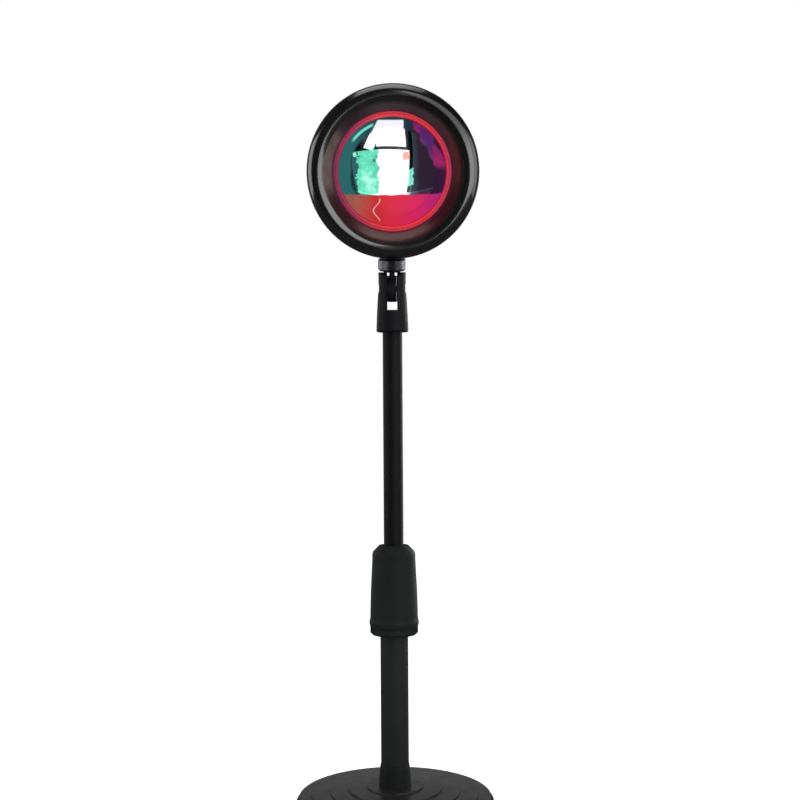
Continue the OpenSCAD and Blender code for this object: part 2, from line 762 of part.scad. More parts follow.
module lens() color("#9fd8d8", 0.5) in_head() up(a_lens) {
  sink = sqrt(pow(lens_dome_r, 2) - pow(lens_d / 2, 2));
  intersection() {
    cylinder(r = lens_d / 2, h = lens_dome_r);
    up(lens_edge - sink) sphere(lens_dome_r);
  }
}

module lens_seal() color("#151515") in_head()
  rotate_extrude() translate([lens_d / 2 - seal_t / 2 - seal_inset, a_seat + seal_t / 2])
    circle(seal_t / 2);

module colour_film() color("#c23a4a", 0.6) in_head()
  up(a_seat - film_seat) cylinder(r = film_r, h = film_t);

module lens_holder() color("#2b2b2b") in_head() difference() {
  film_hole_r = film_r + fit;
  union() {
    rotate_extrude() polygon([
      [barrel_r, a_barrel + gap], [barrel_r + barrel_t, a_barrel + gap],
      [barrel_r + barrel_t, a_holder],
      [holder_r, a_holder], [holder_r, a_flange - flange_h],
      [shell_in_r - fit, a_flange - flange_h], [shell_in_r - fit, a_flange],
      [holder_in_r, a_flange], [holder_in_r, a_seat], [film_hole_r, a_seat],
      [film_hole_r, a_seat - film_seat], [barrel_r, a_seat - film_seat]
    ]);
    ring_of(trio_n, sink_lug_ring, trio_angle)
      up(a_barrel) cylinder(r = lug_r, h = barrel_len + holder_floor / 2);
  }
  ring_of(trio_n, holder_lug_ring, trio_angle)
    up(a_flange - flange_h) drill(screw_d / 2 + fit, flange_h);
  ring_of(trio_n, sink_lug_ring, trio_angle)
    up(a_barrel - eps) cylinder(r = screw_d / 2 + fit, h = screw_bite + 2 * gap);
}

module holder_screws() color("#8f9296") in_head()
  ring_of(trio_n, holder_lug_ring, trio_angle) up(a_flange) rotate([180, 0, 0])
    small_screw(flange_h + screw_bite);

module reflector() color("#c9c9cc") in_head() rotate_extrude() polygon([
  [reflector_hole_r, a_chip + gap], [barrel_r - fit - reflector_t, a_holder],
  [barrel_r - fit, a_holder], [barrel_r - fit, a_holder - reflector_t],
  [reflector_hole_r + reflector_t, a_chip + gap]
]);

module led_chip() color("#e8d890") in_head() up(a_chip) cylinder(r = chip_d / 2, h = chip_t);

module led_board() color("#e4e4e0") in_head() up(a_led) difference() {
  cylinder(r = led_board_d / 2, h = led_board_t);
  ring_of(2, led_screw_ring) drill(screw_d / 2 + fit, led_board_t);
  ring_of(2, lead_ring, lead_angle) drill(lead_d / 2 + fit, led_board_t);
}

module led_screws() color("#8f9296") in_head()
  ring_of(2, led_screw_ring) up(a_chip) rotate([180, 0, 0]) small_screw(led_board_t + thermal_t + sink_t);

module thermal_pad() color("#a9b7c4") in_head() up(a_barrel) difference() {
  cylinder(r = led_board_d / 2 - thermal_inset, h = thermal_t);
  ring_of(2, led_screw_ring) drill(screw_d / 2 + fit, thermal_t);
  ring_of(2, lead_ring, lead_angle) drill(lead_d / 2 + fit, thermal_t);
}

module heat_sink() color("#a7a9ab") in_head() difference() {
  union() {
    up(a_sink) cylinder(r = sink_r, h = sink_t);
    for (i = [0 : fin_n - 1]) {
      x = (i - (fin_n - 1) / 2) * fin_pitch;
      reach = sqrt(pow(back_hole_r + fin_t, 2) - pow(abs(x) + fin_t / 2, 2));
      translate([x - fin_t / 2, -reach, a_sink - fin_h]) cube([fin_t, 2 * reach, fin_h + fin_root]);
    }
  }
  ring_of(2, led_screw_ring) up(a_sink) drill(screw_d / 2 + fit, sink_t);
  ring_of(2, lead_ring, lead_angle) up(a_sink - fin_h) drill(lead_d / 2 + gap, fin_h + sink_t);
  ring_of(trio_n, sink_lug_ring, trio_angle) up(a_sink) drill(screw_d / 2 + fit, sink_t);
}

module sink_screws() color("#8f9296") in_head()
  ring_of(trio_n, sink_lug_ring, trio_angle) up(a_sink) small_screw(sink_t + screw_bite);

module driver_board() color("#1f5a3a") in_head() up(a_driver) difference() {
  cylinder(r = driver_d / 2, h = driver_t);
  drill(gland_d / 2, driver_t);
  ring_of(trio_n, driver_post_ring, trio_angle) drill(screw_d / 2 + fit, driver_t);
}

module driver_parts() color("#3a3a42") in_head() up(a_driver + driver_t) {
  coil = [8, 8, 2.4];
  bridge = [5, 9, 1.5];
  cap_r = 2.6;
  place = 6;
  translate([place, -place, 0]) cube(coil);
  translate([-place - bridge.x - cap_r, -place, 0]) cube(bridge);
  for (side = [-1, 1]) translate([0, side * (place + 2 * cap_r), 0]) cylinder(r = cap_r, h = coil.z);
}

module led_leads() color("#b03030") in_head()
  ring_of(2, lead_ring, lead_angle) up(a_driver + driver_t)
    cylinder(r = lead_d / 2, h = a_chip + chip_t / 2 - a_driver - driver_t);

module rear_cover() color("#1f1f20") in_head() difference() {
  union() {
    rotate_extrude() polygon([
      [0, a_back - rear_t], [back_r - rear_bevel, a_back - rear_t],
      [back_r, a_back - rear_t + rear_bevel], [back_r, a_back], [back_hole_r - fit, a_back],
      [back_hole_r - fit, a_back + shell_t], [back_hole_r - fit - rear_lip_t, a_back + shell_t],
      [back_hole_r - fit - rear_lip_t, a_back], [0, a_back]
    ]);
    ring_of(trio_n, driver_post_ring, trio_angle) {
      up(a_back - eps) cylinder(r = driver_post_r, h = driver_post_h + eps);
      up(a_back) cylinder(r = screw_d / 2, h = driver_post_h + driver_t + driver_pin_over);
    }
  }
  up(a_back - rear_t) drill(gland_d / 2 + fit, rear_t);
  ring_of(trio_n, rear_lug_ring, rear_angle) {
    up(a_back - rear_t) drill(screw_d / 2 + fit, rear_t);
    up(a_back - rear_t) drill(screw_head_d / 2 + fit, screw_head_h);
  }
}

module rear_screws() color("#8f9296") in_head()
  ring_of(trio_n, rear_lug_ring, rear_angle) up(a_back - rear_t + screw_head_h) small_screw(screw_bite);

module cable_gland() color("#151515") in_head() difference() {
  a_end = a_back - rear_t - gland_len;
  ribs = gland_len - gland_lip_t - gland_bevel;
  rotate_extrude() polygon(concat(
    [[0, a_end]],
    [for (i = [0 : 3], k = [0 : 3])
      [gland_d / 2 - (k == 0 || k == 3 ? gland_rib : 0) + i * rib_rise,
        a_end + (i + k / 4) * ribs / 4]],
    [[gland_d / 2, a_end + ribs], [gland_d / 2 + gland_lip, a_end + ribs + gland_bevel],
      [gland_d / 2 + gland_lip, a_back - rear_t], [gland_d / 2, a_back - rear_t],
      [gland_d / 2, a_back + gland_nut_h], [0, a_back + gland_nut_h]]
  ));
  up(a_end) drill(cord_hole_d / 2, shell_back);
}

module gland_nut() color("#151515") in_head() up(a_back) difference() {
  cylinder(r = gland_d / 2 + gland_nut_wall, h = gland_nut_h, $fn = 6);
  drill(gland_d / 2 + fit, gland_nut_h);
}

// ---------------------------------------------------------------- nodes

anti_slip_pad();
base_tray();
base_weight();
base_cover();
base_screws();
foot_collar();
foot_bolt();
foot_washer();
lower_tube();
tube_plug();
clutch_base();
clutch_washer();
clutch_grip();
collet();
mast_guide();
upper_tube();
fork_body();
fork_set_screw();
hinge_screw();
hinge_nut();
hinge_washers();
tilt_tongue();
lock_ring();
head_shell();
stem_insert();
front_bezel();
baffle();
lens_ring();
lens();
lens_seal();
colour_film();
lens_holder();
holder_screws();
reflector();
led_chip();
led_board();
led_screws();
thermal_pad();
heat_sink();
sink_screws();
driver_board();
driver_parts();
led_leads();
rear_cover();
rear_screws();
cable_gland();
gland_nut();
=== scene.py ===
import json
import math

import bmesh
import bpy
from mathutils import Euler, Matrix, Quaternion, Vector

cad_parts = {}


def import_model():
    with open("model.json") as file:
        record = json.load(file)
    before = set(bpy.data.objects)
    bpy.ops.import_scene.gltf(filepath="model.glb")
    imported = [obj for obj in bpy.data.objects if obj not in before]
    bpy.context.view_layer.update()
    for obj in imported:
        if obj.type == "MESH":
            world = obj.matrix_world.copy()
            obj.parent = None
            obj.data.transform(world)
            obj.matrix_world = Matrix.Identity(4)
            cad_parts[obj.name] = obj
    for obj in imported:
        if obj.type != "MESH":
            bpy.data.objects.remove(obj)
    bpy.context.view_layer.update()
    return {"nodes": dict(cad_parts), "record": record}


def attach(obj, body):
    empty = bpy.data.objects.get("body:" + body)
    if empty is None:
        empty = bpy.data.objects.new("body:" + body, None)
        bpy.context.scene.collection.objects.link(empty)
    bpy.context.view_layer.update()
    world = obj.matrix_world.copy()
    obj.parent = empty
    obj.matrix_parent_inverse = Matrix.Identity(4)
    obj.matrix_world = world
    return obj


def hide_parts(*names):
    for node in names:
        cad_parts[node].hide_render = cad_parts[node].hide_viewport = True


# A sunset projection lamp on a white sweep. Everything is in metres, in the frame of the CAD model:
# the origin is the centre of the base on the floor, +Z is up and the lens looks along -Y.

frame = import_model()
NODES = frame["nodes"]

MM = 0.001

# The camera of the photograph: level, with a slight roll
CAMERA_AT = (5.1 * MM, -893 * MM, 292.6 * MM)
CAMERA_ROLL = math.radians(0.35)
CAMERA_FOCAL_PX = 1256.0
CAMERA_CLIP = 10 * MM
IMAGE_PX = 800.0
SENSOR = 36.0

# The table top: its extent, its tone to the eye and in mirrors, and the glow that makes it white to
# the camera
TABLE_X = (-1.5, 1.5)
TABLE_Y = (-0.64, 1.8)
TABLE_TONE = (0.85, 0.85, 0.85, 1)
TABLE_TONE_MIRRORED = (0.05, 0.05, 0.05, 1)
TABLE_GLOW = 0.62

# The room: how bright it is to the camera and as light, and in mirrors from its front to its back
WHITE = (1, 1, 1, 1)
ROOM_SEEN = 1.0
ROOM_LIGHT = 0.55
ROOM_MIRRORED = (0.015, 0.16)
ROOM_MIRRORED_Y = (0.2, 0.9)

# Soft panels: place, the point that they face, width, height and radiance
PANELS = {
    "panel_front": ((0.05, -1.5, 0.32), (0, 0, 0.42), 0.5, 0.5, 2.0),
    "panel_left": ((-1.15, -0.15, 0.5), (0, 0, 0.45), 0.9, 0.9, 1.4),
    "panel_right": ((0.65, -1.0, 0.5), (0, 0, 0.45), 1.05, 1.0, 1.7),
    "panel_side": ((1.15, -0.25, 0.5), (0, 0, 0.45), 0.8, 0.9, 1.0),
    "panel_top": ((0.0, -0.2, 1.55), (0, 0, 0.4), 1.0, 1.2, 1.2),
}

# Strips behind that light the edges of the posts and the lock ring, and a dim panel behind that only
# the base's cover mirrors
STRIPS = {
    "edge_left": ((-0.75, 0.75, 0.35), (0, 0, 0.3), 0.6, 1.0, 0.9),
    "edge_right": ((0.75, 0.75, 0.35), (0, 0, 0.3), 0.6, 1.0, 3.4),
}
POSTS = ("lower_tube", "upper_tube", "foot_collar", "clutch_grip", "fork_body")
BACK_PANEL = ((0, 1.5, 0.62), (0, 0, 0.02), 2.6, 1.2, 0.17)

# Upright cards that light the lens alone, which mirrors them: from and to in x, from and to in z,
# radiance and turn in degrees. They stand on one plane. The last card lies on the table.
CARD_Y = -0.6
CARDS = {
    "card_front": ((-0.44, 0.247), (0.0, 0.553), 1.6, 0),
    "card_above": ((-0.12, 0.204), (0.587, 0.96), 1.6, 0),
    "card_lean": ((-0.2, -0.08), (0.5475, 0.9475), 1.6, -22),
    "card_left": ((-0.88, -0.44), (0.02, 0.97), 0.5, 0),
    "card_right": ((0.29, 1.17), (0.0, 1.1), 0.5, 0),
}
CARD_FLOOR = ((0, -0.35, 0.003), (0, -0.35, 1), 2.0, 0.58, 0.8)

# The head's own frame: its origin is where the lens axis meets the stud's axis
TILT_AXLE = Vector((0, 0, 371.7 * MM))
HEAD_TILT = math.radians(12)
HEAD_PAN = math.radians(3)
HEAD_RISE = 82.4 * MM
HEAD = (
    Matrix.Translation(TILT_AXLE)
    @ Matrix.Rotation(HEAD_TILT, 4, "X")
    @ Matrix.Rotation(HEAD_PAN, 4, "Z")
    @ Matrix.Translation((0, 0, HEAD_RISE))
    @ Matrix.Rotation(math.radians(90), 4, "X")
)

# Zones of the head's front, in millimetres from the lens's centre: the line below which the lens is
# painted pink, a painted reflection of the table, the start of the rim, where the ring hides the cards
# and painted reflections glow as light of their own, and the reach of lens and ring
TABLE_EDGE = 15.2
RIM_FROM = 29.7
LENS_REACH = 40.0
RING_REACH = 42.0
RING_LINES = (36.8, 40.6)
CONE_FROM = 41.6
CONE_PAINTED_SHADE_FROM = 46.0
FILM_ACROSS = 76.0

# The knurled lock ring, in the tilted frame whose origin is on the tilt axle
TILT = Matrix.Translation(TILT_AXLE) @ Matrix.Rotation(HEAD_TILT, 4, "X")
LOCK_FOOT = 12.85 * MM
LOCK_H = 9 * MM
LOCK_R = 10 * MM
LOCK_BORE = 3.08 * MM
LOCK_BEVEL = 1.4 * MM
KNURL_TEETH = 42
KNURL_DEPTH = 0.2 * MM
KNURL_ROWS = 36
KNURL_TOOTH_STEPS = 8


def srgb(r, g, b):
    """Linear colour of an 8-bit screen colour."""
    def one(c):
        c /= 255.0
        return c / 12.92 if c <= 0.04045 else ((c + 0.055) / 1.055) ** 2.4
    return (one(r), one(g), one(b), 1.0)


# ---------------------------------------------------------------- material tools


class Mat:
    """A node material under construction, with short calls for the nodes that the finishes share."""

    def __init__(self, name):
        self.mat = bpy.data.materials.new(name)
        self.mat.use_nodes = True
        self.tree = self.mat.node_tree
        self.tree.nodes.clear()
        self.out = self.new("ShaderNodeOutputMaterial")
        self.bsdf = self.new("ShaderNodeBsdfPrincipled")
        self.link(self.bsdf.outputs[0], self.out.inputs["Surface"])
        self.place = self.new("ShaderNodeTexCoord").outputs["Object"]

    def new(self, kind, **values):
        node = self.tree.nodes.new(kind)
        for key, value in values.items():
            setattr(node, key, value)
        return node

    def link(self, a, b):
        self.tree.links.new(a, b)
        return a

    def set(self, **values):
        for key, value in values.items():
            self.bsdf.inputs[key.replace("_", " ")].default_value = value
        return self

    def noise(self, scale, detail=2.0, rough=0.5, at=None, stretch=None):
        if stretch is not None:
            mapping = self.new("ShaderNodeMapping")
            mapping.inputs["Scale"].default_value = stretch
            self.link(at or self.place, mapping.inputs["Vector"])
            at = mapping.outputs[0]
        node = self.new("ShaderNodeTexNoise")
        node.inputs["Scale"].default_value = scale
        node.inputs["Detail"].default_value = detail
        node.inputs["Roughness"].default_value = rough
        self.link(at or self.place, node.inputs["Vector"])
        return node.outputs["Fac"]

    def voronoi(self, scale):
        node = self.new("ShaderNodeTexVoronoi", feature="F1")
        node.inputs["Scale"].default_value = scale
        self.link(self.place, node.inputs["Vector"])
        return node.outputs["Distance"]

    def ramp(self, fac, *stops):
        node = self.new("ShaderNodeValToRGB")
        ramp = node.color_ramp
        while len(ramp.elements) > len(stops):
            ramp.elements.remove(ramp.elements[-1])
        while len(ramp.elements) < len(stops):
            ramp.elements.new(1.0)
        for element, (at, colour) in zip(ramp.elements, stops):
            element.position = at
            element.color = colour if hasattr(colour, "__len__") else (colour,) * 3 + (1,)
        self.link(fac, node.inputs["Fac"])
        return node.outputs["Color"]

    def spread(self, fac, low, high, start=0.3, end=0.7):
        node = self.new("ShaderNodeMapRange")
        for name, value in (("From Min", start), ("From Max", end), ("To Min", low), ("To Max", high)):
            node.inputs[name].default_value = value
        self.link(fac, node.inputs["Value"])
        return node.outputs["Result"]

    def math(self, operation, a, b=None):
        node = self.new("ShaderNodeMath", operation=operation)
        for socket, value in zip(node.inputs, (a, b)):
            if isinstance(value, bpy.types.NodeSocket):
                self.link(value, socket)
            elif value is not None:
                socket.default_value = value
        return node.outputs[0]

    def mix(self, fac, a, b, blend="MIX"):
        node = self.new("ShaderNodeMix", data_type="RGBA", blend_type=blend)
        for socket, value in ((node.inputs[0], fac), (node.inputs[6], a), (node.inputs[7], b)):
            if isinstance(value, bpy.types.NodeSocket):
                self.link(value, socket)
            else:
                socket.default_value = value
        return node.outputs[2]

    def split(self, vector):
        node = self.new("ShaderNodeSeparateXYZ")
        self.link(vector, node.inputs[0])
        return node.outputs

    def head_place(self):
        """Place in the head's own frame, in millimetres: right, up and forward of its centre."""
        inverse = HEAD.inverted()
        node = self.new("ShaderNodeMapping")
        node.inputs["Scale"].default_value = (1 / MM,) * 3
        node.inputs["Rotation"].default_value = inverse.to_euler()
        node.inputs["Location"].default_value = inverse.translation / MM
        self.link(self.place, node.inputs["Vector"])
        return node.outputs[0]

    def along(self, u, v, a, b):
        """The place along one direction: a times u plus b times v."""
        return self.math("ADD", self.math("MULTIPLY", u, a), self.math("MULTIPLY", v, b))

    def away(self, u, v):
        """The distance from the lens's centre."""
        return self.math("SQRT", self.math("ADD", self.math("MULTIPLY", u, u), self.math("MULTIPLY", v, v)))

    def within(self, value, at, soft):
        """1 below a place and 0 above it, with a smooth step of that half-width."""
        return self.rise(self.math("MULTIPLY", value, -1.0), -at, soft)

    def rise(self, value, at, soft):
        """0 below a place and 1 above it, with a smooth step of that half-width."""
        node = self.new("ShaderNodeMapRange", interpolation_type="SMOOTHSTEP")
        node.inputs["From Min"].default_value = at - soft
        node.inputs["From Max"].default_value = at + soft
        self.link(value, node.inputs["Value"])
        return node.outputs["Result"]

    def band(self, value, low, high, soft):
        """1 between two places and 0 outside them."""
        return self.math("SUBTRACT", self.rise(value, low, soft), self.rise(value, high, soft))

    def wobble(self, value, noise, amount):
        """The value shifted by a noise, to and fro by that amount."""
        return self.math("ADD", value, self.math("MULTIPLY", self.math("SUBTRACT", noise, 0.5), 2 * amount))

    def colour(self, socket):
        self.link(socket, self.bsdf.inputs["Base Color"])
        return self

    def rough(self, socket):
        self.link(socket, self.bsdf.inputs["Roughness"])
        return self

    def bump(self, height, distance, strength=1.0, edge=0.0):
        """Bump of that height in metres; edge rounds sharp corners in the shading."""
        node = self.new("ShaderNodeBump")
        node.inputs["Strength"].default_value = strength
        node.inputs["Distance"].default_value = distance
        self.link(height, node.inputs["Height"])
        if edge:
            bevel = self.new("ShaderNodeBevel", samples=4)
            bevel.inputs["Radius"].default_value = edge
            self.link(bevel.outputs[0], node.inputs["Normal"])
        self.link(node.outputs[0], self.bsdf.inputs["Normal"])
        return self


def moulded(name, colour, rough, grain=1800.0, depth=0.02 * MM, vary=0.12, specular=0.5, edge=0.25 * MM):
    """Moulded plastic: a fine spark-eroded grain, faint cloudiness and slightly uneven gloss."""
    m = Mat(name)
    cloud = m.noise(38.0, 3.0)
    low = tuple(c * (1 - vary) for c in colour[:3]) + (1,)
    high = tuple(min(1, c * (1 + vary)) for c in colour[:3]) + (1,)
    m.colour(m.ramp(cloud, (0.3, low), (0.7, high)))
    m.rough(m.spread(m.noise(120.0, 2.0), rough - 0.04, rough + 0.05))
    m.set(Specular_IOR_Level=specular)
    m.bump(m.noise(grain, 3.0, 0.6), depth, 0.6, edge)
    return m


def metal(name, colour, rough, stretch=(1, 1, 1), scale=900.0, depth=0.01 * MM, edge=0.15 * MM):
    """Bare metal with fine machining or brushing marks along the short axis of its stretch."""
    m = Mat(name)
    marks = m.noise(scale, 4.0, 0.65, stretch=stretch)
    low = tuple(c * 0.86 for c in colour[:3]) + (1,)
    m.colour(m.ramp(m.noise(60.0, 3.0), (0.3, low), (0.7, colour)))
    m.rough(m.spread(marks, rough - 0.07, rough + 0.1))
    m.set(Metallic=1.0)
    m.bump(marks, depth, 0.5, edge)
    return m


# ---------------------------------------------------------------- finishes of the CAD nodes


def base_plastic():
    return moulded("base_plastic", srgb(34, 34, 33), 0.3, grain=1500.0, depth=0.02 * MM, specular=0.24).mat


def tray_plastic():
    return moulded("tray_plastic", srgb(40, 41, 41), 0.5, grain=1300.0, depth=0.05 * MM).mat


def rubber():
    m = Mat("rubber_black")
    cells = m.voronoi(900.0)
    m.colour(m.ramp(m.noise(220.0, 3.0), (0.3, srgb(27, 27, 27)), (0.7, srgb(38, 38, 38))))
    m.rough(m.spread(cells, 0.72, 0.92, 0.0, 0.8))
    m.bump(cells, 0.12 * MM, 0.7, 0.2 * MM)
    return m.mat


def powder_coat(name, colour, specular=0.12):
    """Matte black powder coat with a fine orange peel."""
    m = Mat(name)
    peel = m.noise(700.0, 2.0, 0.5)
    low = tuple(c * 0.85 for c in colour[:3]) + (1,)
    m.colour(m.ramp(m.noise(50.0, 4.0), (0.35, low), (0.65, colour)))
    m.rough(m.spread(peel, 0.46, 0.58))
    m.set(Specular_IOR_Level=specular)
    m.bump(peel, 0.03 * MM, 0.5, 0.15 * MM)
    return m.mat


def cast_iron():
    m = Mat("cast_iron")
    sand = m.noise(450.0, 6.0, 0.7)
    m.colour(m.ramp(m.noise(70.0, 4.0), (0.3, srgb(78, 78, 80)), (0.7, srgb(120, 116, 112))))
    m.rough(m.spread(sand, 0.55, 0.8))
    m.set(Metallic=0.8)
    m.bump(sand, 0.2 * MM, 0.8, 0.4 * MM)
    return m.mat


def nylon():
    m = moulded("white_nylon", srgb(222, 221, 214), 0.38, grain=600.0, depth=0.01 * MM, vary=0.03)
    m.set(Subsurface_Weight=0.15, Subsurface_Radius=(0.8 * MM, 0.8 * MM, 0.7 * MM))
    return m.mat


def board(name, colour, track):
    """A coated board: solder mask with the faint raised lines of the copper under it."""
    m = Mat(name)
    brick = m.new("ShaderNodeTexBrick", offset=0.37)
    brick.inputs["Scale"].default_value = 160.0
    brick.inputs["Mortar Size"].default_value = 0.03
    brick.inputs["Color1"].default_value = colour
    brick.inputs["Color2"].default_value = tuple(c * 0.9 for c in colour[:3]) + (1,)
    brick.inputs["Mortar"].default_value = track
    m.link(m.place, brick.inputs["Vector"])
    m.colour(brick.outputs["Color"])
    m.rough(m.spread(m.noise(300.0), 0.28, 0.4))
    m.bump(brick.outputs["Fac"], 0.05 * MM, 0.4, 0.1 * MM)
    return m.mat


def bezel_gloss():
    """Lacquered gloss black with the faintest waviness, whose coat carries the broad soft highlights."""
    m = Mat("bezel_black")
    m.colour(m.ramp(m.noise(45.0, 3.0), (0.3, srgb(10, 10, 11)), (0.7, srgb(15, 15, 16))))
    m.rough(m.spread(m.noise(90.0, 3.0), 0.18, 0.24))
    # the upper right of the roll is the duller part
    u, v, _ = m.split(m.head_place())
    radius = m.away(u, v)
    slant = m.math("DIVIDE", m.along(u, v, 0.64, 0.77), radius)
    dull = m.rise(slant, 0.9, 0.1)
    m.link(m.spread(dull, 1.0, 0.25, 0.0, 1.0), m.bsdf.inputs["Coat Weight"])
    m.link(m.spread(dull, 1.0, 0.5, 0.0, 1.0), m.bsdf.inputs["Specular IOR Level"])
    m.set(Coat_IOR=1.7, Coat_Roughness=0.11)
    m.bump(m.noise(160.0, 1.0), 0.01 * MM, 0.5, 0.2 * MM)
    return m.mat


def baffle_matte():
    """Warm grey-brown cone round the lens, with light painted by place: painted dark red light from the
    filter and ring, and painted shade.
    """
    m = Mat("baffle_matte")
    local = m.head_place()
    u, v, _ = m.split(local)
    cloud = m.noise(0.06, 2.0, at=local)
    radius = m.away(u, v)
    base = m.ramp(m.noise(150.0, 3.0), (0.3, srgb(98, 80, 78)), (0.7, srgb(112, 92, 90)))
    # how far round the cone a point lies, along one direction at a time, from -1 to 1
    right = m.math("DIVIDE", m.wobble(u, cloud, 12.0), radius)
    # painted red light thrown by the filter, mostly at the right
    red = m.mix(m.rise(right, 0.55, 0.35), base, srgb(92, 42, 46))
    up = m.math("DIVIDE", m.wobble(v, cloud, 12.0), radius)
    # painted shade towards the top
    shade = m.mix(m.rise(up, 0.62, 0.36), red, srgb(64, 54, 58))
    # painted dark red shade in the lower left and lower right corners
    low_left = m.math("DIVIDE", m.along(u, v, -0.8, -0.6), radius)
    painted_corner_shade = m.mix(m.rise(low_left, 0.93, 0.07), shade, srgb(50, 22, 26))
    low_right = m.math("DIVIDE", m.along(u, v, 0.84, -0.54), radius)
    painted_corner_shade = m.mix(m.rise(low_right, 0.93, 0.07), painted_corner_shade, srgb(62, 20, 28))
    # painted dark red shade in a patch at the upper left
    up_left = m.math("DIVIDE", m.along(u, v, -0.6, 0.8), radius)
    patch = m.mix(m.rise(up_left, 0.96, 0.05), painted_corner_shade, srgb(46, 30, 32))
    # painted plum glow from the ring next to it, and painted shade towards the bezel except at the left
    painted_plum_glow = m.mix(m.within(radius, CONE_FROM, 1.0), patch, srgb(84, 34, 62))
    painted_bezel_shade = m.math("MULTIPLY", m.rise(radius, CONE_PAINTED_SHADE_FROM, 1.6), m.rise(right, -0.75, 0.2))
    m.colour(m.mix(painted_bezel_shade, painted_plum_glow, srgb(34, 24, 26)))
    m.rough(m.spread(m.noise(900.0), 0.6, 0.8))
    m.set(Specular_IOR_Level=0.2)
    m.bump(m.noise(2400.0, 2.0), 0.04 * MM, 0.6, 0.1 * MM)
    return m.mat


def ring_red():
    """Red ring with a weak painted glow of its own, though it is no lamp: plum at the left, scarlet
    elsewhere.
    """
    m = Mat("ring_red")
    local = m.head_place()
    u, v, _ = m.split(local)
    radius = m.away(u, v)
    wave = m.wobble(u, m.noise(0.05, 2.0, at=local), 6.0)
    tint = m.ramp(
        m.math("ADD", m.math("MULTIPLY", wave, 0.5 / RING_REACH), 0.5),
        (0.0, srgb(132, 54, 90)), (0.22, srgb(184, 50, 84)), (0.42, srgb(238, 56, 70)),
        (0.8, srgb(246, 44, 60)), (1.0, srgb(226, 46, 96)),
    )
    # painted highlights: two bright lines with a deeper one between them
    lines = m.ramp(
        m.spread(radius, 0.0, 1.0, *RING_LINES),
        (0.0, 0.4), (0.2, 1.0), (0.45, 0.9), (0.6, 0.5), (0.75, 1.0), (0.95, 0.45),
    )
    glow = m.mix(1.0, tint, lines, "MULTIPLY")
    m.colour(glow)
    m.rough(m.spread(m.noise(200.0), 0.22, 0.3))
    # the ring glows with painted light of its own, though it is no lamp
    m.link(glow, m.bsdf.inputs["Emission Color"])
    m.set(Emission_Strength=0.15, Specular_IOR_Level=0.3)
    m.bump(m.noise(900.0), 0.01 * MM, 0.4, 0.2 * MM)
    return m.mat


